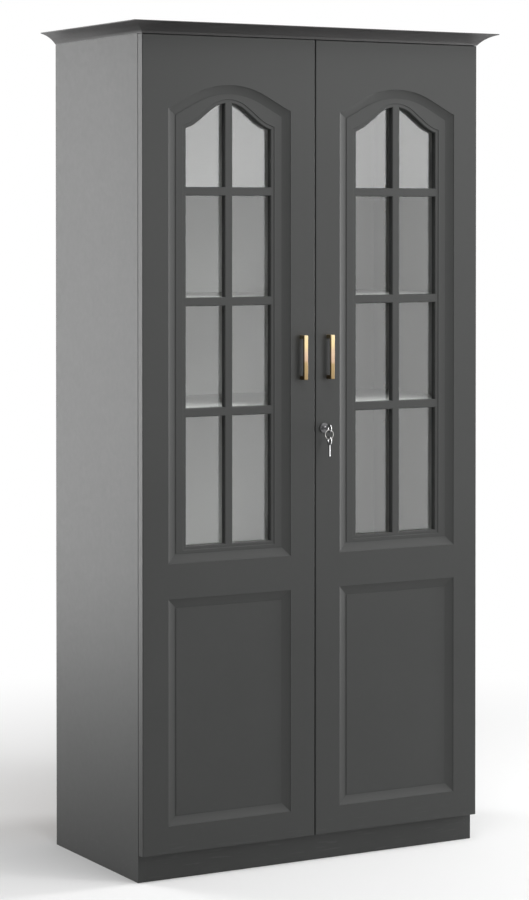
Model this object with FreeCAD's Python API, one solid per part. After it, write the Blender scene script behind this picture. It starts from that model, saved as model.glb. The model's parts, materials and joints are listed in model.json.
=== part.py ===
import FreeCAD, Part
import math
import os

# Bookcase with two glazed doors. Millimetres: X to the right, Y to the back, Z up, floor at Z = 0.
# The left door and its fittings are modelled first, and the right ones are their mirror images.

# Carcass
carcass_width = 914.0
carcass_depth = 441.0
overall_height = 1975.0
board = 18.0
plinth_height = 62.0
rear_rail_setback = 60.0
back_thickness = 4.0
back_setback = 12.0
groove_depth = 6.0
groove_clearance = 0.2
overrun = 5.0

# Cornice
cornice_height = 27.0
cornice_projection = 40.0
cornice_soffit = 1.5
cornice_bead = 0.8
cornice_cove_sag = 3.8
cornice_lip_reach = 2.0
cornice_lip_rise = 0.6
cornice_lip_height = 2.0

# Shelves and their pins
shelf_thickness = 18.0
shelf_setback = 24.0
shelf_side_clearance = 1.0
shelf_back_clearance = 2.0
lower_shelf_share = 0.5
pin_radius = 2.5
pin_hole_depth = 10.0
pin_peg_length = 9.5
pin_tongue_length = 9.0
pin_tongue_width = 10.0
pin_inset = 50.0
pin_row_pitch = 32.0
pin_row_reach = 2
bore_clearance = 0.1
edge_tolerance = 0.1

# Dowels and cam fittings in the fixed panels
dowel_radius = 4.0
dowel_length = 32.0
dowel_in_side = 12.0
dowel_depth_shares = (0.12, 0.5, 0.88)
cam_radius = 7.5
cam_depth = 12.0
cam_inset = 30.0
cam_depth_shares = (0.3, 0.7)
cam_slot_width = 2.0
cam_slot_depth = 1.5

# Doors
door_thickness = 22.0
door_gap = 2.5
meeting_gap = 2.5
door_bottom_gap = 2.0
door_top_gap = 1.0
door_edge_radius = 2.0
stile_width = 66.0
lower_rail = 64.0
lower_panel_height = 523.0
lock_rail = 81.0
top_rail = 112.0
recess_rise = 57.0
recess_start_radius = 90.0
recess_start_angle = -1.4
recess_slope_angle = 8.6
recess_depth = 5.5
recess_lip = 1.2
cove_width = 21.0
cove_sag = 0.5
cove_steps = 4
quirk_width = 1.5
quirk_depth = 1.0

# Window in each door; arch angles are measured from the chord between shoulder and apex
window_side = 40.75
window_sill = 29.0
window_head = 33.0
window_rise = 62.0
window_start_radius = 100.0
window_start_angle = -13.1
window_slope_angle = 10.9
window_step = 1.5
window_taper = 1.0
window_border = 9.0
bar_width = 20.0
bar_chamfer = 1.5
bar_height_shares = (0.304, 0.5495, 0.795)

# Glass and its clips
glass_thickness = 4.0
glass_lap = 12.0
clip_length = 18.0
clip_foot = 12.0
clip_lap = 6.0
clip_tongue = 2.0
clip_clearance = 0.3
clip_side_shares = (0.08, 0.36, 0.64, 0.92)
clip_end_shares = (0.25, 0.75)

# Wood screws
screw_radius = 1.6
screw_length = 11.0
screw_head_radius = 3.4
screw_head_height = 1.8

# Handles
handle_centres = 96.0
handle_post = 9.0
handle_width = 10.5
handle_bar_depth = 6.5
handle_standoff = 14.0
handle_round = 1.6
handle_inset = 35.25
handle_above_lock = 168.5
handle_screw_radius = 2.0
handle_screw_bite = 9.0
handle_screw_head_radius = 4.2
handle_screw_head = 2.4

# Concealed hinges, one pivot each
hinge_end_margin = 100.0
pivot_inset = 6.5
pivot_depth = 10.0
pivot_radius = 1.2
pivot_clearance = 0.06
knuckle_radius = 2.6
cup_radius = 17.5
cup_wall = 0.6
cup_depth = 13.6
cup_edge = 2.5
cup_ear_width = 16.0
cup_ear_margin = 6.0
cup_ear_thickness = 1.0
cup_screw_spread = 48.0
cup_screw_offset = 6.0
arm_width = 7.0
arm_thickness = 3.0
arm_length = 46.0
plate_thickness = 3.0
plate_height = 46.0
plate_length = 40.0
plate_setback = 8.0
plate_screw_spread = 32.0

# Catches and bumpers
catch_width = 44.0
catch_height = 13.0
catch_depth = 16.0
catch_offset = 80.0
catch_air = 0.3
strike_width = 36.0
strike_thickness = 1.2
bumper_radius = 4.0
bumper_air = 0.3
bumper_inset = 40.0

# Lock, keys and key ring
lock_inset = 22.75
lock_height = 1030.0
barrel_radius = 9.0
barrel_tail = 4.0
rosette_radius = 12.0
rosette_thickness = 2.5
plug_radius = 6.5
plug_clearance = 0.05
plug_tail = 1.5
nut_radius = 13.5
nut_thickness = 3.0
nut_air = 0.2
nut_sides = 6
lock_cam_thickness = 2.0
lock_cam_length = 36.0
lock_cam_half_width = 6.5
cam_screw_radius = 2.0
cam_screw_bite = 7.0
cam_screw_head_radius = 3.8
cam_screw_head = 2.0
key_thickness = 2.0
key_slot_air = 0.15
key_blade_height = 7.0
key_blade_in_plug = 15.0
key_neck = 11.0
key_bow_radius = 11.0
key_hole_radius = 4.5
key_bite = 1.6
key_bite_count = 3
key_blade_length = 26.0
ring_radius = 11.0
ring_wire = 0.9
ring_air = 0.15

# Bolts inside the left door
bolt_radius = 3.0
bolt_clearance = 0.08
bolt_length = 62.0
bolt_axis_depth = 9.0
bolt_inset = 18.0
bolt_end_air = 3.0
bolt_travel = 13.0
bolt_keeper_air = 0.5
bolt_block_width = 17.0
bolt_block_length = 52.0
bolt_block_depth = 14.0
bolt_block_air = 5.0
bolt_knob_radius = 2.0
bolt_knob_reach = 9.0
bolt_knob_share = 0.5
bolt_slot_air = 0.4
bolt_foot_width = 8.0
bolt_foot_thickness = 2.0
bolt_foot_shares = (0.2, 0.8)

# Places that follow from these sizes
half_width = carcass_width / 2
inner_half = half_width - board
carcass_top = overall_height - cornice_height
front_reach = door_gap + door_thickness + cornice_projection
carcass_front = front_reach - (carcass_depth + front_reach) / 2
carcass_back = carcass_front + carcass_depth
door_back = carcass_front - door_gap
door_front = door_back - door_thickness
door_bottom = plinth_height + door_bottom_gap
door_top = carcass_top - door_top_gap
door_width = half_width - meeting_gap / 2
door_centre = -half_width + door_width / 2
meeting_edge = -meeting_gap / 2
back_front = carcass_back - back_setback - back_thickness
top_underside = carcass_top - board
floor_top = plinth_height + board
lower_panel_bottom = door_bottom + lower_rail
lower_panel_top = lower_panel_bottom + lower_panel_height
recess_bottom = lower_panel_top + lock_rail
recess_apex = door_top - top_rail
recess_half = door_width / 2 - stile_width
quirk_bottom = recess_depth + quirk_depth
fixed_shelf_middle = lower_panel_top + lock_rail / 2
fixed_shelf_low = fixed_shelf_middle - board / 2
lower_shelf_middle = floor_top + lower_shelf_share * (fixed_shelf_low - floor_top)
window_half = recess_half - window_side
window_bottom = recess_bottom + window_sill
window_apex = recess_apex - window_head
lights_bottom = window_bottom + window_border
bar_heights = [window_bottom + share * (window_apex - window_bottom) for share in bar_height_shares]
lattice_plane = door_front + recess_depth + window_step
glass_half = window_half - window_border + glass_lap
glass_bottom = lights_bottom - glass_lap
glass_top = window_apex - window_border + glass_lap
lower_hinge = (lower_shelf_middle + fixed_shelf_middle) / 2
upper_hinge = (bar_heights[0] + bar_heights[1]) / 2
hinge_heights = [door_bottom + hinge_end_margin, lower_hinge, upper_hinge, door_top - hinge_end_margin]
cup_inset = cup_edge + cup_radius
cup_ear_length = cup_screw_spread + 2 * cup_ear_margin
handle_length = handle_centres + handle_post
handle_height = lock_height + handle_above_lock
pivot_x = -half_width + pivot_inset
pivot_y = door_back - pivot_depth
lock_x = -meeting_edge + lock_inset
bow_y = door_front - rosette_thickness - key_neck - key_bow_radius
ring_top = lock_height - key_hole_radius + ring_wire + ring_air
ring_bottom = ring_top - 2 * ring_radius
spare_middle = ring_bottom - key_hole_radius + ring_wire + ring_air
bolt_x = meeting_edge - bolt_inset
bolt_y = door_back + bolt_axis_depth

X_AXIS = FreeCAD.Vector(1, 0, 0)
Y_AXIS = FreeCAD.Vector(0, 1, 0)
Z_AXIS = FreeCAD.Vector(0, 0, 1)
ORIGIN = FreeCAD.Vector(0, 0, 0)

parts = {}


def vector(x, y, z):
    return FreeCAD.Vector(x, y, z)


def block(x_low, x_high, y_low, y_high, z_low, z_high):
    return Part.makeBox(x_high - x_low, y_high - y_low, z_high - z_low, vector(x_low, y_low, z_low))


def rod(radius, start, axis, length):
    return Part.makeCylinder(radius, length, start, axis)


def mirrored(shape):
    return shape.mirror(ORIGIN, X_AXIS)


def group(solids):
    return Part.makeCompound(solids)


def polygon(points):
    return Part.Face(Part.makePolygon(points + points[:1]))


def fused(solids):
    return solids[0].fuse(solids[1:]).removeSplitter()


def wood_screw(seat, drive):
    """A pan-head screw: seat is the point under its head, drive the way it is driven."""
    head = rod(screw_head_radius, seat - drive * screw_head_height, drive, screw_head_height)
    return fused([head, rod(screw_radius, seat, drive, screw_length)])


def screw_bore(seat, drive):
    return rod(screw_radius + bore_clearance, seat, drive, screw_length + bore_clearance)


# Outlines with an ogee arch at the top, used for the recess and the window of a door
def arch(half, bottom, apex, rise, start_angle, slope_angle, start_radius):
    """An outline about the door's centre line, whose arch is hollow, straight, then a round crown."""
    chord = math.atan2(rise, half)
    start = chord + math.radians(start_angle)
    slope = chord + math.radians(slope_angle)
    reach = half - start_radius * (math.sin(slope) - math.sin(start))
    climb = rise - start_radius * (math.cos(start) - math.cos(slope))
    crown = (math.sin(slope) * reach - math.cos(slope) * climb) / (1 - math.cos(slope))
    return {"half": half, "bottom": bottom, "apex": apex, "slope": slope, "crown": crown,
            "hollow": start_radius, "hollow_u": -half - start_radius * math.sin(start),
            "hollow_z": apex - rise + start_radius * math.cos(start)}


def hollow_point(outline, inset, angle):
    radius = outline["hollow"] + inset
    return outline["hollow_u"] + radius * math.sin(angle), outline["hollow_z"] - radius * math.cos(angle)


def hollow_start(outline, inset):
    shift = -outline["half"] + inset - outline["hollow_u"]
    return math.asin(shift / (outline["hollow"] + inset))


def crown_point(outline, inset, angle):
    radius = outline["crown"] - inset
    middle = outline["apex"] - outline["crown"]
    return -radius * math.sin(angle), middle + radius * math.cos(angle)


def crown_angle(outline, inset, u):
    return math.asin(-u / (outline["crown"] - inset))


def place(point, y, side):
    """A point of an outline on the left door; side is 1, or -1 for the other half of the outline."""
    return vector(door_centre + side * point[0], y, point[1])


def line(start, end):
    return Part.LineSegment(start, end).toShape()


def bow(start, middle, end):
    return Part.Arc(start, middle, end).toShape()


def half_arch(outline, inset, y, side, crown_end):
    """Edges from the shoulder of an arch up to the point of its crown at the angle crown_end."""
    slope = outline["slope"]
    first = hollow_start(outline, inset)
    hollow = [place(hollow_point(outline, inset, angle), y, side)
              for angle in (first, (first + slope) / 2, slope)]
    crown = [place(crown_point(outline, inset, angle), y, side)
             for angle in (slope, (slope + crown_end) / 2, crown_end)]
    return [bow(*hollow), line(hollow[-1], crown[0]), bow(*crown)]


def arch_wire(outline, inset, y):
    left = half_arch(outline, inset, y, 1, 0)
    right = half_arch(outline, inset, y, -1, 0)
    corner = (-outline["half"] + inset, outline["bottom"] + inset)
    low_left = place(corner, y, 1)
    low_right = place(corner, y, -1)
    shoulder = hollow_point(outline, inset, hollow_start(outline, inset))
    sides = [line(low_left, place(shoulder, y, 1)), line(low_right, place(shoulder, y, -1))]
    return Part.Wire(Part.__sortEdges__(left + right + sides + [line(low_left, low_right)]))


def rectangle_wire(u_low, u_high, z_low, z_high, y):
    corners = [(u_low, z_low), (u_high, z_low), (u_high, z_high), (u_low, z_high)]
    points = [place(corner, y, 1) for corner in corners]
    return Part.makePolygon(points + points[:1])


def arched_light_wire(outline, spread, y, side):
    """One light of the top row: the arch inside the border, cut by the middle bar and the top bar."""
    inset = window_border - spread
    bar_edge = -bar_width / 2 + spread
    sill = bar_heights[-1] + bar_width / 2 - spread
    cut = crown_angle(outline, inset, bar_edge)
    top = half_arch(outline, inset, y, side, cut)
    shoulder = hollow_point(outline, inset, hollow_start(outline, inset))
    low_outer = place((shoulder[0], sill), y, side)
    low_inner = place((bar_edge, sill), y, side)
    high_inner = place(crown_point(outline, inset, cut), y, side)
    straight = [line(place(shoulder, y, side), low_outer), line(low_outer, low_inner)]
    straight.append(line(low_inner, high_inner))
    return Part.Wire(Part.__sortEdges__(top + straight))


def plain_light_wire(outline, row, spread, y, side):
    """One light of the rows under the arch."""
    outer = outline["half"] - window_border + spread
    inner = bar_width / 2 - spread
    low = lights_bottom
    if row > 0:
        low = bar_heights[row - 1] + bar_width / 2
    high = bar_heights[row] - bar_width / 2
    edges = sorted((-side * outer, -side * inner))
    return rectangle_wire(edges[0], edges[1], low - spread, high + spread, y)


def ruled(wires):
    return Part.makeLoft(wires, True, True)


def cove_sections():
    """Inset and depth along the shallow cove that leads from a door's face down to the quirk."""
    sections = [(0, -overrun), (0, recess_lip)]
    for step in range(1, cove_steps + 1):
        share = step / cove_steps
        fall = share * (quirk_bottom - recess_lip) + cove_sag * (1 - (2 * share - 1) ** 2)
        sections.append((share * cove_width, recess_lip + fall))
    return sections


def sunk_cutter(outline):
    """Lip, cove and quirk round a sunk field; outline gives the wire at an inset and a depth."""
    cutter = ruled([outline(inset, door_front + depth) for inset, depth in cove_sections()])
    field = [outline(cove_width + quirk_width, door_front + depth)
             for depth in (recess_depth, quirk_bottom + overrun)]
    return cutter.cut(ruled(field))


def panel_wire(inset, y):
    """The outline of the lower panel."""
    half = recess_half - inset
    return rectangle_wire(-half, half, lower_panel_bottom + inset, lower_panel_top - inset, y)


def window_cutters(window):
    """The step round the window, and the lights with their small chamfers."""
    step = [arch_wire(window, 0, door_front - overrun), arch_wire(window, 0, door_front + recess_depth)]
    step.append(arch_wire(window, window_taper, lattice_plane))
    cutters = [ruled(step)]
    levels = [(bar_chamfer, lattice_plane - window_step), (bar_chamfer, lattice_plane)]
    levels += [(0, lattice_plane + bar_chamfer), (0, door_back + overrun)]
    for side in (1, -1):
        cutters.append(ruled([arched_light_wire(window, spread, y, side) for spread, y in levels]))
        for row in range(len(bar_heights)):
            cutters.append(ruled([plain_light_wire(window, row, spread, y, side) for spread, y in levels]))
    return cutters


def door_slab():
    slab = block(-half_width, meeting_edge, door_front, door_back, door_bottom, door_top)
    rims = [edge for edge in slab.Edges if abs(edge.BoundBox.YMax - door_front) < edge_tolerance]
    slab = slab.makeFillet(door_edge_radius, rims)
    recess = arch(recess_half, recess_bottom, recess_apex, recess_rise,
                  recess_start_angle, recess_slope_angle, recess_start_radius)
    window = arch(window_half, window_bottom, window_apex, window_rise,
                  window_start_angle, window_slope_angle, window_start_radius)
    upper = sunk_cutter(lambda inset, y: arch_wire(recess, inset, y))
    slab = slab.cut(upper).cut(sunk_cutter(panel_wire))
    for cutter in window_cutters(window):
        slab = slab.cut(cutter)
    return slab


# Carcass: sides, fixed panels, plinth and back, then the shelves
back_panel = block(-inner_half - groove_depth, inner_half + groove_depth, back_front,
                   back_front + back_thickness, floor_top - groove_depth, top_underside + groove_depth)
groove = block(-inner_half - groove_depth - groove_clearance, inner_half + groove_depth + groove_clearance,
               back_front - groove_clearance, back_front + back_thickness + groove_clearance,
               floor_top - groove_depth - groove_clearance, top_underside + groove_depth + groove_clearance)
side_panel = block(-half_width, -inner_half, carcass_front, carcass_back, 0, carcass_top).cut(groove)


def fixed_panel(depth_end, z_low):
    return block(-inner_half, inner_half, carcass_front, depth_end, z_low, z_low + board)


top_panel = fixed_panel(carcass_back, top_underside).cut(groove)
bottom_panel = fixed_panel(carcass_back, plinth_height).cut(groove)
fixed_shelf = fixed_panel(back_front - groove_clearance, fixed_shelf_low)
plinth_board = block(-inner_half, inner_half, carcass_front, carcass_front + board, 0, plinth_height)
rear_rail_front = carcass_back - rear_rail_setback - board
rear_plinth_rail = block(-inner_half, inner_half, rear_rail_front, rear_rail_front + board, 0, plinth_height)

shelf_front = carcass_front + shelf_setback
shelf_back = back_front - shelf_back_clearance
shelf_half = inner_half - shelf_side_clearance
loose_shelf_middles = [lower_shelf_middle] + bar_heights
loose_shelves = [block(-shelf_half, shelf_half, shelf_front, shelf_back, middle - shelf_thickness / 2,
                       middle + shelf_thickness / 2) for middle in loose_shelf_middles]

# Shelf pins, with spare holes above and below each pin
pins = []
pin_bores = []
for middle in loose_shelf_middles:
    pin_z = middle - shelf_thickness / 2 - pin_radius
    for pin_y in (shelf_front + pin_inset, shelf_back - pin_inset):
        peg = rod(pin_radius, vector(-inner_half - pin_peg_length, pin_y, pin_z), X_AXIS, pin_peg_length)
        tongue = block(-inner_half, -inner_half + pin_tongue_length, pin_y - pin_tongue_width / 2,
                       pin_y + pin_tongue_width / 2, pin_z - pin_radius, pin_z + pin_radius)
        pins.append(fused([tongue, peg]))
        for number in range(-pin_row_reach, pin_row_reach + 1):
            mouth = vector(-inner_half + overrun, pin_y, pin_z + number * pin_row_pitch)
            pin_bores.append(rod(pin_radius + bore_clearance, mouth, -X_AXIS, pin_hole_depth + overrun))
side_panel = side_panel.cut(pin_bores)

# Dowels in the ends of the fixed panels and rails
dowel_places = [(carcass_front + share * carcass_depth, z + board / 2)
                for z in (plinth_height, fixed_shelf_low, top_underside) for share in dowel_depth_shares]
dowel_places.append((carcass_front + board / 2, plinth_height / 2))
dowel_places.append((rear_rail_front + board / 2, plinth_height / 2))
dowels = [rod(dowel_radius, vector(-inner_half - dowel_in_side, y, z), X_AXIS, dowel_length)
          for y, z in dowel_places]
dowel_bores = [rod(dowel_radius + bore_clearance, vector(-inner_half - dowel_in_side - bore_clearance, y, z),
                   X_AXIS, dowel_length + 2 * bore_clearance) for y, z in dowel_places]
side_panel = side_panel.cut(dowel_bores)
right_dowel_bores = [mirrored(bore) for bore in dowel_bores]
all_dowel_bores = dowel_bores + right_dowel_bores

# Cam fittings in the undersides of the fixed panels
cams = []
cam_bores = []
for z in (plinth_height, fixed_shelf_low, top_underside):
    for share in cam_depth_shares:
        centre = vector(-inner_half + cam_inset, carcass_front + share * carcass_depth, z)
        slot = block(centre.x - cam_radius, centre.x + cam_radius, centre.y - cam_slot_width / 2,
                     centre.y + cam_slot_width / 2, z - overrun, z + cam_slot_depth)
        cams.append(rod(cam_radius, centre, Z_AXIS, cam_depth).cut(slot))
        bore = rod(cam_radius + bore_clearance, centre - Z_AXIS * overrun, Z_AXIS,
                   cam_depth + bore_clearance + overrun)
        cam_bores += [bore, mirrored(bore)]
top_panel = top_panel.cut(all_dowel_bores + cam_bores)
bottom_panel = bottom_panel.cut(all_dowel_bores + cam_bores)
fixed_shelf = fixed_shelf.cut(all_dowel_bores + cam_bores)
plinth_board = plinth_board.cut(all_dowel_bores)
rear_plinth_rail = rear_plinth_rail.cut(all_dowel_bores)


# Cornice: a core board over carcass and doors, and three mitred lengths of moulding
def cornice_profile():
    """Edges of the moulding's section as (out, up) points, with the hollow as an arc."""
    toe = (cornice_soffit, 0)
    cove_low = (cornice_soffit, cornice_bead)
    lip_low = (cornice_projection, cornice_height - cornice_lip_height)
    cove_high = (cornice_projection - cornice_lip_reach, lip_low[1] - cornice_lip_rise)
    reach = cove_high[0] - cove_low[0]
    climb = cove_high[1] - cove_low[1]
    chord = math.hypot(reach, climb)
    middle = ((cove_low[0] + cove_high[0]) / 2 - cornice_cove_sag * climb / chord,
              (cove_low[1] + cove_high[1]) / 2 + cornice_cove_sag * reach / chord)
    runs = [((0, 0), toe), (toe, cove_low), (cove_low, middle, cove_high), (cove_high, lip_low)]
    runs.append((lip_low, (cornice_projection, cornice_height)))
    runs.append(((cornice_projection, cornice_height), (0, cornice_height)))
    runs.append(((0, cornice_height), (0, 0)))
    return runs


def moulding(put, plan, sweep):
    """A length of moulding: put places a section point, plan is its outline from above."""
    edges = []
    for run in cornice_profile():
        points = [put(out, carcass_top + up) for out, up in run]
        edges.append(bow(*points) if len(points) > 2 else line(*points))
    length = Part.Face(Part.Wire(edges)).extrude(sweep)
    mitre = polygon([vector(x, y, carcass_top - overrun) for x, y in plan])
    return length.common(mitre.extrude(Z_AXIS * (cornice_height + 2 * overrun)))


def front_point(out, up):
    return vector(-half_width - cornice_projection, door_front - out, up)


def left_point(out, up):
    return vector(-half_width - out, door_front - cornice_projection, up)


cornice_front_line = door_front - cornice_projection
cornice_left_line = -half_width - cornice_projection
cornice_core = block(-half_width, half_width, door_front, carcass_back, carcass_top, overall_height)
cornice_front = moulding(front_point, [(-half_width, door_front), (half_width, door_front),
                                       (-cornice_left_line, cornice_front_line),
                                       (cornice_left_line, cornice_front_line)],
                         X_AXIS * (-2 * cornice_left_line))
cornice_left = moulding(left_point, [(-half_width, carcass_back), (-half_width, door_front),
                                     (cornice_left_line, cornice_front_line),
                                     (cornice_left_line, carcass_back)],
                        Y_AXIS * (carcass_back - cornice_front_line))

# Hinges: plate and arm on the side panel, pin and cup in the door
plates = []
arms = []
plate_screws = []
plate_bores = []
hinge_pins = []
cups = []
cup_screws = []
door_bores = []
cup_x = -half_width + cup_inset
ear_x = cup_x + cup_screw_offset
plate_face = -inner_half + plate_thickness
arm_face = plate_face + arm_thickness
plate_front = carcass_front + plate_setback
for z in hinge_heights:
    plate = block(-inner_half, plate_face, plate_front, plate_front + plate_length,
                  z - plate_height / 2, z + plate_height / 2)
    knuckle = rod(knuckle_radius, vector(pivot_x, pivot_y, z - arm_width / 2), Z_AXIS, arm_width)
    inward = block(pivot_x, arm_face, pivot_y - arm_thickness / 2, pivot_y + arm_thickness / 2,
                   z - arm_width / 2, z + arm_width / 2)
    backward = block(plate_face, arm_face, pivot_y - arm_thickness / 2, carcass_front + arm_length,
                     z - arm_width / 2, z + arm_width / 2)
    pin_bore = rod(pivot_radius + pivot_clearance, vector(pivot_x, pivot_y, z - arm_width), Z_AXIS,
                   2 * arm_width)
    arms.append(fused([knuckle, inward, backward]).cut(pin_bore))
    for side in (1, -1):
        seat = vector(plate_face, plate_front + plate_length / 2, z + side * plate_screw_spread / 2)
        plate_screws.append(wood_screw(seat, -X_AXIS))
        bore = screw_bore(seat, -X_AXIS)
        plate = plate.cut(bore)
        plate_bores.append(bore)
    plates.append(plate)
    cup_mouth = vector(cup_x, door_back, z)
    cup = rod(cup_radius, cup_mouth, -Y_AXIS, cup_depth)
    ears = block(ear_x - cup_ear_width / 2, ear_x + cup_ear_width / 2, door_back,
                 door_back + cup_ear_thickness, z - cup_ear_length / 2, z + cup_ear_length / 2)
    hollow = rod(cup_radius - cup_wall, cup_mouth + Y_AXIS * overrun, -Y_AXIS, cup_depth - cup_wall + overrun)
    shell = fused([cup, ears]).cut(hollow)
    pin_reach = math.sqrt(cup_radius ** 2 - (cup_inset - pivot_inset + pivot_radius) ** 2)
    pin = rod(pivot_radius, vector(pivot_x, pivot_y, z - pin_reach), Z_AXIS, 2 * pin_reach)
    hinge_pins.append(pin)
    shell = shell.cut(pin)
    door_bores.append(rod(cup_radius + bore_clearance, cup_mouth + Y_AXIS * overrun, -Y_AXIS,
                          cup_depth + bore_clearance + overrun))
    for side in (1, -1):
        seat = vector(ear_x, door_back + cup_ear_thickness, z + side * cup_screw_spread / 2)
        cup_screws.append(wood_screw(seat, -Y_AXIS))
        bore = screw_bore(seat, -Y_AXIS)
        shell = shell.cut(bore)
        door_bores.append(bore)
    cups.append(shell)
side_panel = side_panel.cut(plate_bores)

# Glass behind the slab, with clips along its edges
glass = block(door_centre - glass_half, door_centre + glass_half, door_back, door_back + glass_thickness,
              glass_bottom, glass_top)
clips = []
clip_screws = []


def add_clip(edge_point, outward):
    """A clip at a point of the glass's edge: a foot on the slab, and a tongue over the glass."""
    along = outward.cross(Y_AXIS)
    rise = glass_thickness + clip_clearance
    foot_start = edge_point + outward * clip_clearance - along * (clip_length / 2)
    foot = polygon([foot_start, foot_start + outward * clip_foot,
                    foot_start + outward * clip_foot + along * clip_length, foot_start + along * clip_length])
    tongue_start = edge_point - outward * clip_lap - along * (clip_length / 2) + Y_AXIS * rise
    tongue_reach = clip_lap + clip_clearance + clip_foot
    tongue = polygon([tongue_start, tongue_start + outward * tongue_reach,
                      tongue_start + outward * tongue_reach + along * clip_length,
                      tongue_start + along * clip_length])
    clip = fused([foot.extrude(Y_AXIS * rise), tongue.extrude(Y_AXIS * clip_tongue)])
    seat = edge_point + outward * (clip_clearance + clip_foot / 2) + Y_AXIS * (rise + clip_tongue)
    bore = screw_bore(seat, -Y_AXIS)
    clips.append(clip.cut(bore))
    clip_screws.append(wood_screw(seat, -Y_AXIS))
    door_bores.append(bore)


for share in clip_side_shares:
    clip_z = glass_bottom + share * (glass_top - glass_bottom)
    add_clip(vector(door_centre - glass_half, door_back, clip_z), -X_AXIS)
    add_clip(vector(door_centre + glass_half, door_back, clip_z), X_AXIS)
for share in clip_end_shares:
    clip_x = door_centre + (2 * share - 1) * glass_half
    add_clip(vector(clip_x, door_back, glass_bottom), -Z_AXIS)
    add_clip(vector(clip_x, door_back, glass_top), Z_AXIS)

# Handle: a bridge pull with two posts, screwed on from inside
handle_x = meeting_edge - handle_inset
handle_front = door_front - handle_standoff - handle_bar_depth
bridge = block(handle_x - handle_width / 2, handle_x + handle_width / 2, handle_front, door_front,
               handle_height - handle_length / 2, handle_height + handle_length / 2)
finger_half = handle_length / 2 - handle_post
finger_gap = block(handle_x - handle_width, handle_x + handle_width, door_front - handle_standoff,
                   door_front + overrun, handle_height - finger_half, handle_height + finger_half)
handle = bridge.cut(finger_gap)
soft_edges = [edge for edge in handle.Edges if edge.BoundBox.YMin < door_front - edge_tolerance]
handle = handle.makeFillet(handle_round, soft_edges)
handle_screws = []
for side in (1, -1):
    seat = vector(handle_x, door_back, handle_height + side * handle_centres / 2)
    shank_length = door_thickness + handle_screw_bite
    head = rod(handle_screw_head_radius, seat, Y_AXIS, handle_screw_head)
    handle_screws.append(fused([head, rod(handle_screw_radius, seat, -Y_AXIS, shank_length)]))
    bore = rod(handle_screw_radius + bore_clearance, seat, -Y_AXIS, shank_length + bore_clearance)
    handle = handle.cut(bore)
    door_bores.append(bore)

# Catch under the top panel, strike plate and bumpers on the door
catch_x = -catch_offset
catch_front = door_back + strike_thickness + catch_air
catch = block(catch_x - catch_width / 2, catch_x + catch_width / 2, catch_front, catch_front + catch_depth,
              top_underside - catch_height, top_underside)
strike = block(catch_x - strike_width / 2, catch_x + strike_width / 2, door_back, door_back + strike_thickness,
               top_underside - catch_height, top_underside - bumper_air)
bumper_length = door_gap - bumper_air
bumpers = [rod(bumper_radius, vector(meeting_edge - bumper_inset, door_back, z), Y_AXIS, bumper_length)
           for z in (top_underside + board / 2, plinth_height + board / 2)]

slab = door_slab().cut(door_bores)
right_slab = mirrored(slab)


# Bolts behind the left door's meeting stile, with keeper holes in the top and bottom panels
def bolt(end_z, inward):
    """Housing, rod, screws and screw bores of a bolt; inward points from its end into the door."""
    axis_end = vector(bolt_x, bolt_y, end_z)
    way = Z_AXIS * inward
    low, high = sorted((end_z + inward * bolt_block_air, end_z + inward * (bolt_block_air + bolt_block_length)))
    housing = block(bolt_x - bolt_block_width / 2, bolt_x + bolt_block_width / 2, door_back,
                    door_back + bolt_block_depth, low, high)
    feet = block(bolt_x - bolt_block_width / 2 - bolt_foot_width, bolt_x + bolt_block_width / 2, door_back,
                 door_back + bolt_foot_thickness, low, high)
    knob_place = bolt_block_air + bolt_travel + bolt_knob_share * (bolt_block_length - bolt_travel)
    knob_z = end_z + inward * knob_place
    slot_low, slot_high = sorted((knob_z + inward * (bolt_knob_radius + bolt_slot_air),
                                  knob_z - inward * (bolt_travel + bolt_knob_radius + bolt_slot_air)))
    slot_half = bolt_knob_radius + bolt_slot_air
    slot = block(bolt_x - slot_half, bolt_x + slot_half, bolt_y, door_back + bolt_block_depth + overrun,
                 slot_low, slot_high)
    tunnel = rod(bolt_radius + bolt_clearance, axis_end - way * overrun, way, bolt_length + bolt_block_length)
    housing = fused([housing, feet]).cut(tunnel).cut(slot)
    knob = rod(bolt_knob_radius, vector(bolt_x, bolt_y, knob_z), Y_AXIS, bolt_knob_reach)
    shaft = fused([rod(bolt_radius, axis_end, way, bolt_length), knob])
    screws = []
    bores = []
    foot_x = bolt_x - bolt_block_width / 2 - bolt_foot_width / 2
    for share in bolt_foot_shares:
        seat = vector(foot_x, door_back + bolt_foot_thickness, low + share * bolt_block_length)
        screws.append(wood_screw(seat, -Y_AXIS))
        bores.append(screw_bore(seat, -Y_AXIS))
    return housing.cut(bores), shaft, screws, bores


top_bolt_end = top_underside - bolt_end_air
bottom_bolt_end = floor_top + bolt_end_air
top_housing, top_bolt, top_bolt_screws, top_bolt_bores = bolt(top_bolt_end, -1)
bottom_housing, bottom_bolt, bottom_bolt_screws, bottom_bolt_bores = bolt(bottom_bolt_end, 1)
slab = slab.cut(top_bolt_bores + bottom_bolt_bores)
keeper_radius = bolt_radius + bolt_keeper_air
keeper_depth = bolt_travel - bolt_end_air + bolt_keeper_air
top_panel = top_panel.cut(rod(keeper_radius, vector(bolt_x, bolt_y, top_underside - overrun), Z_AXIS,
                              keeper_depth + overrun))
bottom_panel = bottom_panel.cut(rod(keeper_radius, vector(bolt_x, bolt_y, floor_top + overrun), -Z_AXIS,
                                    keeper_depth + overrun))

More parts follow.
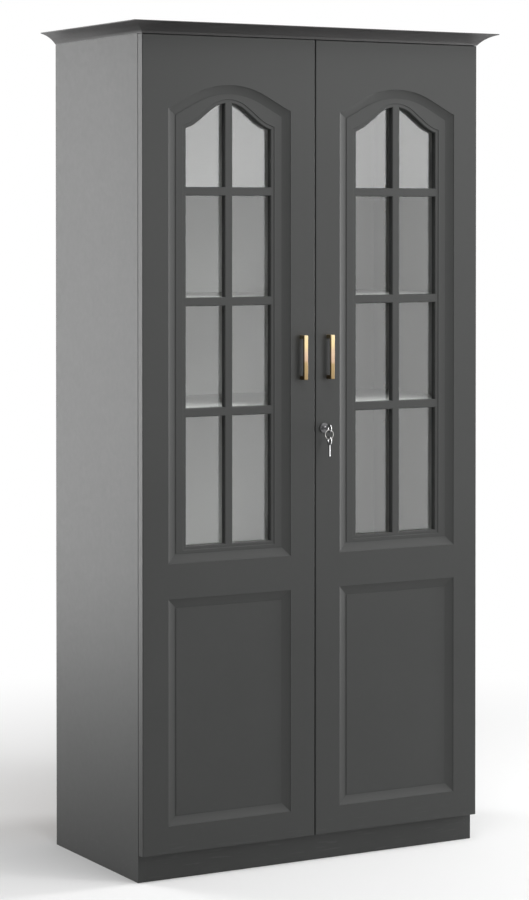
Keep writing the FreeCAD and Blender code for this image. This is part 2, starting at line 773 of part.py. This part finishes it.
# Lock in the right door: barrel, nut, plug and cam on one axis, all drawn unlocked
barrel_end = door_back + barrel_tail
plug_front = door_front - rosette_thickness
plug_end = barrel_end + plug_tail
lock_face = vector(lock_x, plug_front, lock_height)
barrel = fused([rod(barrel_radius, vector(lock_x, door_front, lock_height), Y_AXIS, barrel_end - door_front),
                rod(rosette_radius, lock_face, Y_AXIS, rosette_thickness)])
barrel = barrel.cut(rod(plug_radius + plug_clearance, lock_face - Y_AXIS * overrun, Y_AXIS,
                        plug_end - plug_front + 2 * overrun))
right_slab = right_slab.cut(rod(barrel_radius + bore_clearance, lock_face, Y_AXIS, plug_end - plug_front))
nut_corners = [vector(lock_x + nut_radius * math.cos(2 * math.pi * number / nut_sides), door_back,
                      lock_height + nut_radius * math.sin(2 * math.pi * number / nut_sides))
               for number in range(nut_sides)]
nut = polygon(nut_corners).extrude(Y_AXIS * nut_thickness)
nut = nut.cut(rod(barrel_radius + nut_air, lock_face, Y_AXIS, plug_end - plug_front + overrun))

slot_half = key_thickness / 2 + key_slot_air
slot_reach = key_blade_height / 2 + key_slot_air
key_slot = block(lock_x - slot_half, lock_x + slot_half, plug_front - overrun,
                 plug_front + key_blade_in_plug + key_slot_air, lock_height - slot_reach,
                 lock_height + slot_reach)
cam_bore = rod(cam_screw_radius + bore_clearance, vector(lock_x, plug_end + overrun, lock_height), -Y_AXIS,
               cam_screw_bite + bore_clearance + overrun)
plug = rod(plug_radius, lock_face, Y_AXIS, plug_end - plug_front).cut(key_slot).cut(cam_bore)

cam_heart = vector(lock_x, plug_end, lock_height)
cam_bar = block(lock_x - lock_cam_half_width, lock_x + lock_cam_half_width, plug_end,
                plug_end + lock_cam_thickness, lock_height - lock_cam_length, lock_height)
lock_cam = fused([cam_bar, rod(lock_cam_half_width, cam_heart, Y_AXIS, lock_cam_thickness)]).cut(cam_bore)
cam_screw_seat = cam_heart + Y_AXIS * lock_cam_thickness
cam_screw = fused([rod(cam_screw_head_radius, cam_screw_seat, Y_AXIS, cam_screw_head),
                   rod(cam_screw_radius, cam_screw_seat, -Y_AXIS, lock_cam_thickness + cam_screw_bite)])


# Keys: a flat bow with a hole, and a notched blade
def key_solid(bow_centre, way, blade_start, blade_end):
    """A key in the upright plane through the lock; way points from the bow along the blade."""
    low = bow_centre - X_AXIS * (key_thickness / 2)
    across = way.cross(X_AXIS)
    edge = across * (key_blade_height / 2)
    root = low + way * blade_start
    tip = low + way * blade_end
    blade = polygon([root - edge, tip - edge, tip + edge, root + edge]).extrude(X_AXIS * key_thickness)
    solid = fused([rod(key_bow_radius, low, X_AXIS, key_thickness), blade])
    pitch = (blade_end - key_bow_radius) / (2 * key_bite_count + 1)
    for number in range(key_bite_count):
        near = tip - way * (pitch * (2 * number + 1))
        far = near - way * pitch
        deep = across * key_bite
        notch = polygon([near - edge, near - edge + deep, far - edge + deep, far - edge])
        solid = solid.cut(notch.extrude(X_AXIS * key_thickness))
    return solid.cut(rod(key_hole_radius, low - X_AXIS * overrun, X_AXIS, key_thickness + 2 * overrun))


bow_root = key_bow_radius / 2
key_tip = plug_front + key_blade_in_plug - bow_y
key = key_solid(vector(lock_x, bow_y, lock_height), Y_AXIS, bow_root, key_tip)
spare_key = key_solid(vector(lock_x, bow_y, spare_middle), -Z_AXIS, bow_root, key_bow_radius + key_blade_length)
key_ring = Part.makeTorus(ring_radius, ring_wire, vector(lock_x, bow_y, ring_top - ring_radius), Y_AXIS)

# Every piece under its own name
parts["left_side_panel"] = side_panel
parts["right_side_panel"] = mirrored(side_panel)
parts["top_panel"] = top_panel
parts["bottom_panel"] = bottom_panel
parts["back_panel"] = back_panel
parts["plinth_board"] = plinth_board
parts["rear_plinth_rail"] = rear_plinth_rail
parts["fixed_shelf"] = fixed_shelf
parts["lower_shelf"] = loose_shelves[0]
for number, shelf in enumerate(loose_shelves[1:], start=1):
    parts["upper_shelf_%d" % number] = shelf
parts["cornice_core"] = cornice_core
parts["cornice_front"] = cornice_front
parts["cornice_left"] = cornice_left
parts["cornice_right"] = mirrored(cornice_left)
for name, solids in (("shelf_pins", pins), ("carcass_dowels", dowels), ("cam_fittings", cams),
                     ("magnetic_catches", [catch])):
    parts[name] = group(solids + [mirrored(solid) for solid in solids])
for name, solids in (("hinge_plates", plates), ("hinge_arms", arms), ("plate_screws", plate_screws),
                     ("hinge_cups", cups), ("hinge_pins", hinge_pins), ("cup_screws", cup_screws),
                     ("door_glass", [glass]), ("glass_clips", clips), ("clip_screws", clip_screws),
                     ("handle", [handle]), ("handle_screws", handle_screws), ("catch_plate", [strike]),
                     ("door_bumpers", bumpers)):
    parts["left_" + name] = group(solids)
    parts["right_" + name] = group([mirrored(solid) for solid in solids])
parts["left_door_slab"] = slab
parts["right_door_slab"] = right_slab
parts["bolt_housings"] = group([top_housing, bottom_housing])
parts["bolt_screws"] = group(top_bolt_screws + bottom_bolt_screws)
parts["top_bolt"] = top_bolt
parts["bottom_bolt"] = bottom_bolt
parts["lock_barrel"] = barrel
parts["lock_nut"] = nut
parts["lock_plug"] = plug
parts["lock_cam"] = lock_cam
parts["cam_screw"] = cam_screw
parts["key"] = key
parts["key_ring"] = key_ring
parts["spare_key"] = spare_key

os.makedirs("parts", exist_ok=True)
for name, shape in parts.items():
    shape.exportStep(os.path.join("parts", name + ".step"))
    print(name, len(shape.Solids), "valid" if shape.isValid() else "NOT VALID", round(shape.Volume))
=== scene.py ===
import json
import math

import bmesh
import bpy
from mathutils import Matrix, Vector


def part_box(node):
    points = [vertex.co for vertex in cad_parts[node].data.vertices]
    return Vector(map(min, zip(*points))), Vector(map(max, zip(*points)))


# Looks of the bookcase with two glazed doors. Metres: X to the right, Y to the back, Z up.
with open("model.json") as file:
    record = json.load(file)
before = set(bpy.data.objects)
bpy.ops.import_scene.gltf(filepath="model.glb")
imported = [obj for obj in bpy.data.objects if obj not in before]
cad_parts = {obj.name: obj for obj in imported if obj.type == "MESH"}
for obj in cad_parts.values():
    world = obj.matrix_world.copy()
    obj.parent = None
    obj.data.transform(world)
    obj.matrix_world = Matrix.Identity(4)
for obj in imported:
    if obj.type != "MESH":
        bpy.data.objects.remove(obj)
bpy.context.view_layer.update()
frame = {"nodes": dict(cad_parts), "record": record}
nodes = frame["nodes"]
mm = 0.001


def grey(level):
    return (level, level, level, 1.0)


# Camera, fitted to the straight edges of the photograph, whose frame is 529 by 900 pixels
PHOTO_LONG_SIDE = 900
FOCAL_PIXELS = 2685.7
SENSOR = 36.0
CAMERA_PLACE = (-3.2211, -5.6771, 1.5233)
CAMERA_HEADING = 29.434
CAMERA_PITCH = 1.0
CAMERA_SHIFT = -0.2040

# Studio: the floor is pale around the bookcase and turns white from FLOOR_NEAR to FLOOR_FAR
FLOOR_REACH = 30.0
FLOOR_NEAR = 0.9
FLOOR_FAR = 2.6
FLOOR_TONE = grey(0.84)
WHITE = grey(1.0)
FILL_LEVEL = 0.30

# Lamps: name, place, the point they are aimed at, width, height, watts
LAMPS = [
    ("key_lamp", (3.0, -4.0, 3.0), (0.0, -0.2, 1.2), 1.0, 1.0, 42),
    ("window_lamp", (2.95, -5.2, 1.25), (0.0, -0.2, 1.25), 2.6, 2.8, 34),
    ("right_lamp", (3.6, -0.75, 1.25), (0.1, -0.2, 1.25), 0.6, 2.2, 120),
    ("window_head", (2.85, -5.15, 2.05), (0.0, -0.2, 2.05), 2.6, 0.8, 15),
    ("left_lamp", (-2.0, 2.6, 1.2), (-0.45, 0.0, 1.2), 1.3, 2.7, 74),
    ("top_lamp", (0.2, -1.8, 4.6), (0.0, -1.4, 0.0), 2.6, 2.6, 124),
]

# Dark satin lacquer, from its deepest to its palest shade, and a lighter copy of it for the cornice, whose
# extra lightness is painted light for its down-facing profile
LACQUER_SHADES = ((0.028, 0.029, 0.028, 1.0), (0.042, 0.043, 0.042, 1.0))
CORNICE_PAINTED_LIGHT_SHADES = ((0.042, 0.041, 0.041, 1.0), (0.058, 0.057, 0.057, 1.0))
LACQUER_SHEEN = 0.25
LACQUER_ROUGHNESS = 0.38
PEEL_DEPTH = 0.25 * mm
DUST_TONE = grey(0.26)
DUST_COVER = 0.22
SCUFF_TONE = grey(0.11)
SCUFF_COVER = 0.15
SCUFF_TOP = 0.15
SCUFF_FULL = 0.02
MARK_REACH = 0.11
MARK_FULL = 0.02
PULL = sum(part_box("right_handle"), Vector()) / 2

# Faced board inside, the chips under it, and the hardboard back
FACING_SHADES = ((0.42, 0.42, 0.41, 1.0), (0.50, 0.50, 0.49, 1.0))
FACING_ROUGHNESS = 0.42
LINEN_DEPTH = 0.03 * mm
CHIP_SHADES = ((0.30, 0.20, 0.11, 1.0), (0.52, 0.39, 0.24, 1.0))
CHIP_ROUGHNESS = 0.85
HARDBOARD_SHADES = ((0.105, 0.066, 0.038, 1.0), (0.21, 0.145, 0.09, 1.0))
HARDBOARD_ROUGHNESS = 0.72
BEECH_SHADES = ((0.42, 0.26, 0.13, 1.0), (0.62, 0.44, 0.26, 1.0))
BEECH_ROUGHNESS = 0.6

# Glass: its faces, its edges, and what it lets through to the lamps
GLASS_FACE = (0.985, 0.995, 0.99, 1.0)
GLASS_EDGE = (0.35, 0.62, 0.52, 1.0)
GLASS_LETS_THROUGH = (0.9, 0.92, 0.91, 1.0)
GLASS_INDEX = 1.5

# Metals: dark and light shade, roughness and its spread, stretch of the grain, strength of the scratches
EVEN = (1.0, 1.0, 1.0)
NICKEL = ((0.50, 0.48, 0.45, 1.0), (0.68, 0.66, 0.62, 1.0), 0.24, 0.16, (1.0, 0.2, 1.0), 0.05)
CHROME = ((0.72, 0.72, 0.73, 1.0), (0.86, 0.86, 0.87, 1.0), 0.08, 0.10, EVEN, 0.02)
DARK_NICKEL = ((0.060, 0.060, 0.062, 1.0), (0.12, 0.12, 0.122, 1.0), 0.22, 0.14, EVEN, 0.03)
ZINC = ((0.34, 0.35, 0.36, 1.0), (0.52, 0.53, 0.52, 1.0), 0.30, 0.18, (1.0, 1.0, 0.2), 0.05)
WORN_RING = ((0.30, 0.29, 0.28, 1.0), (0.46, 0.45, 0.43, 1.0), 0.20, 0.16, EVEN, 0.03)
SCRATCH_DEPTH = 0.05 * mm

# Brass of the pulls, with reflections of the surroundings painted into its colour; the ramp runs from their
# foot to their top
BRASS_SCRATCH = 0.05
BRASS_SHADOW = (0.20, 0.13, 0.06, 1.0)
BRASS_ROUGHNESS = 0.20
BRASS_PAINTED_REFLECTIONS = [
    (0.0, (0.19, 0.135, 0.07, 1.0)),
    (0.36, (0.25, 0.18, 0.09, 1.0)),
    (0.44, (0.36, 0.25, 0.18, 1.0)),
    (0.62, (0.41, 0.30, 0.21, 1.0)),
    (0.76, (0.48, 0.38, 0.21, 1.0)),
    (1.0, (0.52, 0.42, 0.25, 1.0)),
]

# Plastics and rubber: dark and light shade, roughness
CLIP_NYLON = ((0.60, 0.60, 0.57, 1.0), (0.72, 0.72, 0.69, 1.0), 0.38)
BUMPER_RUBBER = ((0.52, 0.52, 0.50, 1.0), (0.62, 0.62, 0.60, 1.0), 0.50)
CATCH_PLASTIC = ((0.66, 0.66, 0.63, 1.0), (0.76, 0.76, 0.73, 1.0), 0.34)
MOULD_GRAIN_DEPTH = 0.08 * mm

# Eased arrises on the boards and fittings that are drawn with sharp edges, in millimetres
EASED = {
    "left_side_panel": 0.8, "right_side_panel": 0.8, "plinth_board": 0.6, "cornice_core": 0.3,
    "cornice_front": 0.3, "cornice_left": 0.3, "cornice_right": 0.3, "fixed_shelf": 0.6, "lower_shelf": 0.8,
    "upper_shelf_1": 0.8, "upper_shelf_2": 0.8, "upper_shelf_3": 0.8, "top_panel": 0.5, "bottom_panel": 0.5,
    "lock_barrel": 0.7, "key": 0.35, "spare_key": 0.35, "left_door_slab": 0.5, "right_door_slab": 0.5,
}
WELD_DISTANCE = 0.005 * mm
SHARP_ANGLE = math.radians(35)


class Wire:
    """The output of a node; arithmetic on it adds Math nodes to the same tree."""

    def __init__(self, finish, socket):
        self.finish = finish
        self.socket = socket

    def combine(self, operation, first, second):
        return self.finish.node("ShaderNodeMath", {"operation": operation}, {0: first, 1: second})

    def __add__(self, other):
        return self.combine("ADD", self, other)

    def __radd__(self, other):
        return self.combine("ADD", other, self)

    def __sub__(self, other):
        return self.combine("SUBTRACT", self, other)

    def __rsub__(self, other):
        return self.combine("SUBTRACT", other, self)

    def __mul__(self, other):
        return self.combine("MULTIPLY", self, other)

    def __rmul__(self, other):
        return self.combine("MULTIPLY", other, self)

    def __truediv__(self, other):
        return self.combine("DIVIDE", self, other)

    def __pow__(self, other):
        return self.combine("POWER", self, other)

    def __gt__(self, other):
        return self.combine("GREATER_THAN", self, other)

    def __lt__(self, other):
        return self.combine("LESS_THAN", self, other)

    def __abs__(self):
        return self.combine("ABSOLUTE", self, 0.0)

    def at_least(self, other):
        return self.combine("MAXIMUM", self, other)


class Finish:
    """A node tree under construction, of a material or of the world."""

    def __init__(self, owner):
        owner.use_nodes = True
        self.owner = owner
        self.tree = owner.node_tree
        self.tree.nodes.clear()

    def node(self, kind, settings=None, sockets=None, output=0):
        """Adds a node: its settings first, then the values or wires of its sockets."""
        made = self.tree.nodes.new(kind)
        for name, value in (settings or {}).items():
            if name == "stops":
                self.set_stops(made.color_ramp, value)
            else:
                setattr(made, name, value)
        for name, value in (sockets or {}).items():
            if isinstance(value, Wire):
                self.tree.links.new(value.socket, made.inputs[name])
            else:
                made.inputs[name].default_value = value
        return Wire(self, made.outputs[output])

    @staticmethod
    def set_stops(ramp, stops):
        while len(ramp.elements) < len(stops):
            ramp.elements.new(1.0)
        for element, (position, colour) in zip(ramp.elements, stops):
            element.position = position
            element.color = colour

    def place(self):
        return self.node("ShaderNodeTexCoord", output="Object")

    def axes(self, vector):
        split = self.node("ShaderNodeSeparateXYZ", None, {0: vector})
        outputs = split.socket.node.outputs
        return [Wire(self, outputs[axis]) for axis in "XYZ"]

    def facing(self):
        """The three parts of the surface's direction in the part's own frame."""
        return self.axes(self.node("ShaderNodeTexCoord", output="Normal"))

    def noise(self, place, scale, detail=2.0, roughness=0.5, stretch=None):
        if stretch:
            place = self.node("ShaderNodeVectorMath", {"operation": "MULTIPLY"}, {0: place, 1: stretch})
        sockets = {"Vector": place, "Scale": scale, "Detail": detail, "Roughness": roughness}
        return self.node("ShaderNodeTexNoise", None, sockets)

    def fade(self, value, low, high):
        """0 where value is at low, 1 where it is at high, smooth between them."""
        settings = {"interpolation_type": "SMOOTHSTEP"}
        return self.node("ShaderNodeMapRange", settings, {0: value, 1: low, 2: high, 3: 0.0, 4: 1.0})

    def mix(self, share, first, second):
        """A colour between two colours."""
        settings = {"data_type": "RGBA"}
        return self.node("ShaderNodeMix", settings, {0: share, 6: first, 7: second}, output=2)

    def bump(self, height, strength, distance):
        sockets = {"Strength": strength, "Distance": distance, "Height": height}
        return self.node("ShaderNodeBump", None, sockets)

    def surface(self, shader):
        """Ends the tree with a shader, and gives back the material or the world."""
        kind = "World" if isinstance(self.owner, bpy.types.World) else "Material"
        end = self.tree.nodes.new("ShaderNodeOutput" + kind)
        self.tree.links.new(shader.socket, end.inputs["Surface"])
        return self.owner

    def principled(self, **sockets):
        named = {name.replace("_", " "): value for name, value in sockets.items()}
        return self.node("ShaderNodeBsdfPrincipled", None, named)


def new_finish(name):
    return Finish(bpy.data.materials.new(name))


# Finishes of the boards
def lacquer_layers(finish, shades=LACQUER_SHADES):
    """Colour, roughness and normal of the dark satin lacquer, with dust, finger marks and scuffs."""
    place = finish.place()
    x, _, z = finish.axes(place)
    up = finish.facing()[2]
    clouds = finish.noise(place, 2.6, 3.0)
    mottle = finish.noise(place, 75.0, 3.0, 0.6)
    peel = finish.noise(place, 430.0, 2.0)
    streaks = finish.noise(place, 60.0, 2.0, 0.5, (0.25, 1.0, 3.0))
    dust = finish.fade(up, 0.6, 0.95) * (0.35 + 0.65 * mottle)
    aside = abs(x) - PULL.x
    above = (z - PULL.z) * 0.5
    from_pull = (aside * aside + above * above) ** 0.5
    marks = finish.fade(from_pull, MARK_REACH, MARK_FULL) * finish.fade(mottle, 0.35, 0.65)
    scuffs = finish.fade(streaks, 0.60, 0.72) * finish.fade(z, SCUFF_TOP, SCUFF_FULL)
    body = finish.mix(clouds * 0.7 + mottle * 0.3, *shades)
    dusty = finish.mix(dust * DUST_COVER, body, DUST_TONE)
    colour = finish.mix(scuffs * SCUFF_COVER, dusty, SCUFF_TONE)
    roughness = LACQUER_ROUGHNESS + 0.12 * mottle + 0.18 * dust - 0.10 * marks
    normal = finish.bump(peel + 0.4 * mottle, 0.10, PEEL_DEPTH)
    return colour, roughness, normal


def lacquer(name, shades):
    finish = new_finish(name)
    colour, roughness, normal = lacquer_layers(finish, shades)
    return finish.surface(finish.principled(Base_Color=colour, Roughness=roughness, Normal=normal,
                                            Specular_IOR_Level=LACQUER_SHEEN))


def facing_layers(finish):
    """Colour, roughness and normal of the light grey faced board inside."""
    place = finish.place()
    linen = finish.noise(place, 2600.0, 2.0, 0.6, (1.0, 0.35, 0.35))
    specks = finish.noise(place, 240.0, 4.0, 0.7)
    clouds = finish.noise(place, 4.0, 2.0)
    share = 0.74 * clouds + 0.16 * specks + 0.10 * linen
    colour = finish.mix(share, *FACING_SHADES)
    roughness = FACING_ROUGHNESS + 0.16 * linen
    normal = finish.bump(linen, 0.04, LINEN_DEPTH)
    return colour, roughness, normal


def faced_board():
    finish = new_finish("light_grey_faced_board")
    colour, roughness, normal = facing_layers(finish)
    return finish.surface(finish.principled(Base_Color=colour, Roughness=roughness, Normal=normal))


def chip_colour(finish):
    """The pressed chips that show in bores and cut edges."""
    place = finish.place()
    sockets = {"Vector": place, "Scale": 420.0}
    chips = finish.node("ShaderNodeTexVoronoi", {"feature": "F1"}, sockets, "Color")
    tint = finish.axes(chips)[0]
    return finish.mix(tint, *CHIP_SHADES)


def side_board(name, node, inward):
    """Lacquer outside, faced board inside, and bare chips in the bores and the groove."""
    finish = new_finish(name)
    low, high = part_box(node)
    edge = 1.0 * mm
    place = finish.axes(finish.place())
    across = finish.facing()[0] * inward
    inside = across > 0.5
    flat = abs(across) < 0.5
    away = (place[1] > low.y + edge) * (place[1] < high.y - edge)
    away = away * (place[2] > low.z + edge) * (place[2] < high.z - edge)
    bare = flat * away
    outer, outer_rough, outer_normal = lacquer_layers(finish)
    inner, inner_rough = facing_layers(finish)[:2]
    colour = finish.mix(bare, finish.mix(inside, outer, inner), chip_colour(finish))
    roughness = outer_rough * (1.0 - inside) + inner_rough * inside
    roughness = roughness.at_least(bare * CHIP_ROUGHNESS)
    painted = finish.principled(Base_Color=colour, Roughness=roughness, Normal=outer_normal,
                                Specular_IOR_Level=LACQUER_SHEEN)
    return finish.surface(painted)


def back_board():
    """Faced towards the shelves, brown hardboard behind."""
    finish = new_finish("hardboard_back")
    behind = finish.facing()[1] > 0.5
    inner, inner_rough, inner_normal = facing_layers(finish)
    place = finish.place()
    fibres = finish.noise(place, 260.0, 5.0, 0.7, (1.0, 1.0, 0.25))
    blotches = finish.noise(place, 7.0, 3.0)
    brown = finish.mix(0.6 * fibres + 0.4 * blotches, *HARDBOARD_SHADES)
    colour = finish.mix(behind, inner, brown)
    roughness = inner_rough * (1.0 - behind) + HARDBOARD_ROUGHNESS * behind
    return finish.surface(finish.principled(Base_Color=colour, Roughness=roughness, Normal=inner_normal))


def beech():
    finish = new_finish("beech_dowel")
    place = finish.place()
    rings = finish.noise(place, 600.0, 3.0, 0.6, (0.08, 1.0, 1.0))
    colour = finish.mix(rings, *BEECH_SHADES)
    return finish.surface(finish.principled(Base_Color=colour, Roughness=BEECH_ROUGHNESS + 0.1 * rings))


# Glass, metals and plastics
def clear_glass():
    """Float glass, greener through its edges, that lets the lamps shine in."""
    finish = new_finish("clear_float_glass")
    edge = abs(finish.facing()[1]) < 0.5
    colour = finish.mix(edge, GLASS_FACE, GLASS_EDGE)
    glass = finish.principled(Base_Color=colour, Roughness=0.0, IOR=GLASS_INDEX, Transmission_Weight=1.0)
    lamps = finish.node("ShaderNodeBsdfTransparent", None, {"Color": GLASS_LETS_THROUGH})
    shadow = finish.node("ShaderNodeLightPath", output="Is Shadow Ray")
    return finish.surface(finish.node("ShaderNodeMixShader", None, {0: shadow, 1: glass, 2: lamps}))


def metal(name, dark, light, rough, spread, grain, scratch):
    """A metal with even grain, or grain drawn along the axis on which its number is the smallest."""
    finish = new_finish(name)
    place = finish.place()
    lines = finish.noise(place, 1500.0, 3.0, 0.6, grain)
    tarnish = finish.noise(place, 70.0, 4.0, 0.6)
    colour = finish.mix(0.35 * lines + 0.65 * tarnish, dark, light)
    roughness = rough + spread * (0.6 * lines + 0.4 * tarnish)
    normal = finish.bump(lines, scratch, SCRATCH_DEPTH)
    return finish.surface(finish.principled(Base_Color=colour, Metallic=1.0, Roughness=roughness,
                                            Normal=normal))


def moulded(name, dark, light, rough):
    """Moulded plastic or rubber with a fine spark-eroded grain."""
    finish = new_finish(name)
    place = finish.place()
    grain = finish.noise(place, 1400.0, 2.0)
    clouds = finish.noise(place, 60.0, 2.0)
    colour = finish.mix(0.6 * clouds + 0.4 * grain, dark, light)
    normal = finish.bump(grain, 0.15, MOULD_GRAIN_DEPTH)
    roughness = rough + 0.12 * grain
    return finish.surface(finish.principled(Base_Color=colour, Roughness=roughness, Normal=normal))


def brass():
    """Brass pulls with painted reflections along their height: brown at the foot, rose in the middle, pale
    gold above.
    """
    finish = new_finish("brass_painted_reflections")
    low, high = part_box("right_handle")
    place = finish.place()
    height = finish.axes(place)[2]
    lines = finish.noise(place, 1500.0, 3.0, 0.6, (1.0, 1.0, 0.06))
    blotches = finish.noise(place, 55.0, 3.0, 0.6)
    # Painted reflections: the colour follows the height of the pull
    share = (height - low.z) / (high.z - low.z) + 0.30 * (blotches - 0.5)
    reflected_tone = finish.node("ShaderNodeValToRGB", {"stops": BRASS_PAINTED_REFLECTIONS}, {0: share})
    colour = finish.mix(lines * 0.22, reflected_tone, BRASS_SHADOW)
    roughness = BRASS_ROUGHNESS + 0.14 * lines + 0.12 * blotches
    normal = finish.bump(lines, BRASS_SCRATCH, SCRATCH_DEPTH)
    return finish.surface(finish.principled(Base_Color=colour, Metallic=1.0, Roughness=roughness,
                                            Normal=normal))


# Finishes by material slot, and those that a single node has for itself
finishes = {
    "grey_lacquer": lacquer("dark_grey_lacquer", LACQUER_SHADES),
    "inner_board": faced_board(),
    "clear_glass": clear_glass(),
    "brass": brass(),
    "nickel_steel": metal("nickel_plate", *NICKEL),
    "bright_chrome": metal("bright_chrome", *CHROME),
    "dark_nickel": metal("dark_nickel", *DARK_NICKEL),
    "zinc": metal("zinc_plate", *ZINC),
    "clip_plastic": moulded("clip_nylon", *CLIP_NYLON),
    "bumper_rubber": moulded("bumper_rubber", *BUMPER_RUBBER),
    "catch_plastic": moulded("catch_plastic", *CATCH_PLASTIC),
    "beech": beech(),
}
# The cornice gets the lacquer in lighter shades: painted light that makes up for the shade on its
# down-facing profile
cornice_painted_light = lacquer("cornice_painted_light", CORNICE_PAINTED_LIGHT_SHADES)
special = {
    "cornice_front": cornice_painted_light,
    "cornice_left": cornice_painted_light,
    "cornice_right": cornice_painted_light,
    "key_ring": metal("worn_ring", *WORN_RING),
    "left_side_panel": side_board("left_side_board", "left_side_panel", 1.0),
    "right_side_panel": side_board("right_side_board", "right_side_panel", -1.0),
    "back_panel": back_board(),
}
for subpart in frame["record"]["subparts"]:
    name = subpart["node"]
    coated = nodes[name].data
    coated.materials.clear()
    coated.materials.append(special.get(name) or finishes[subpart["material_slot"]])


def ease(node, width):
    """Rounds the sharp edges of a node by a width in millimetres."""
    weld = node.modifiers.new("weld", "WELD")
    weld.merge_threshold = WELD_DISTANCE
    bevel = node.modifiers.new("eased_edges", "BEVEL")
    bevel.width = width * mm
    bevel.segments = 2
    bevel.limit_method = "ANGLE"
    bevel.angle_limit = SHARP_ANGLE
    bevel.harden_normals = True


for name, width in EASED.items():
    ease(nodes[name], width)


# Studio: pale floor, white surroundings, soft lamps and the camera
def seen_rays(finish):
    """1 for rays that show the surroundings, 0 for those that only bring light."""
    path = finish.node("ShaderNodeLightPath").socket.node
    camera, glossy, through = (Wire(finish, path.outputs[name])
                               for name in ("Is Camera Ray", "Is Glossy Ray", "Is Transmission Ray"))
    return camera.at_least(glossy).at_least(through)


def floor():
    mesh = bpy.data.meshes.new("studio_floor")
    outline = bmesh.new()
    bmesh.ops.create_grid(outline, x_segments=1, y_segments=1, size=FLOOR_REACH)
    outline.to_mesh(mesh)
    outline.free()
    plane = bpy.data.objects.new("studio_floor", mesh)
    bpy.context.scene.collection.objects.link(plane)
    finish = new_finish("pale_floor")
    x, y, _ = finish.axes(finish.place())
    away = finish.fade((x * x + y * y) ** 0.5, FLOOR_NEAR, FLOOR_FAR)
    near = finish.node("ShaderNodeBsdfDiffuse", None, {"Color": FLOOR_TONE})
    white = finish.node("ShaderNodeEmission", None, {"Color": WHITE, "Strength": 1.0})
    share = away * seen_rays(finish)
    both = finish.node("ShaderNodeMixShader", None, {0: share, 1: near, 2: white})
    mesh.materials.append(finish.surface(both))


def surroundings():
    world = bpy.data.worlds.new("white_studio")
    finish = Finish(world)
    level = FILL_LEVEL + (1.0 - FILL_LEVEL) * seen_rays(finish)
    finish.surface(finish.node("ShaderNodeBackground", None, {"Color": WHITE, "Strength": level}))
    bpy.context.scene.world = world


def lamp(name, place, target, width, height, power):
    light = bpy.data.lights.new(name, "AREA")
    light.shape = "RECTANGLE"
    light.size = width
    light.size_y = height
    light.energy = power
    holder = bpy.data.objects.new(name, light)
    holder.location = place
    holder.rotation_euler = (Vector(target) - Vector(place)).to_track_quat("-Z", "Y").to_euler()
    bpy.context.scene.collection.objects.link(holder)


def camera():
    lens = bpy.data.cameras.new("photo_camera")
    lens.sensor_width = SENSOR
    lens.lens = FOCAL_PIXELS * SENSOR / PHOTO_LONG_SIDE
    lens.shift_y = CAMERA_SHIFT
    holder = bpy.data.objects.new("photo_camera", lens)
    holder.location = CAMERA_PLACE
    holder.rotation_euler = (math.radians(90.0 - CAMERA_PITCH), 0.0, math.radians(-CAMERA_HEADING))
    bpy.context.scene.collection.objects.link(holder)
    bpy.context.scene.camera = holder


floor()
surroundings()
for lamp_values in LAMPS:
    lamp(*lamp_values)
camera()
bpy.context.scene.view_settings.view_transform = "Standard"
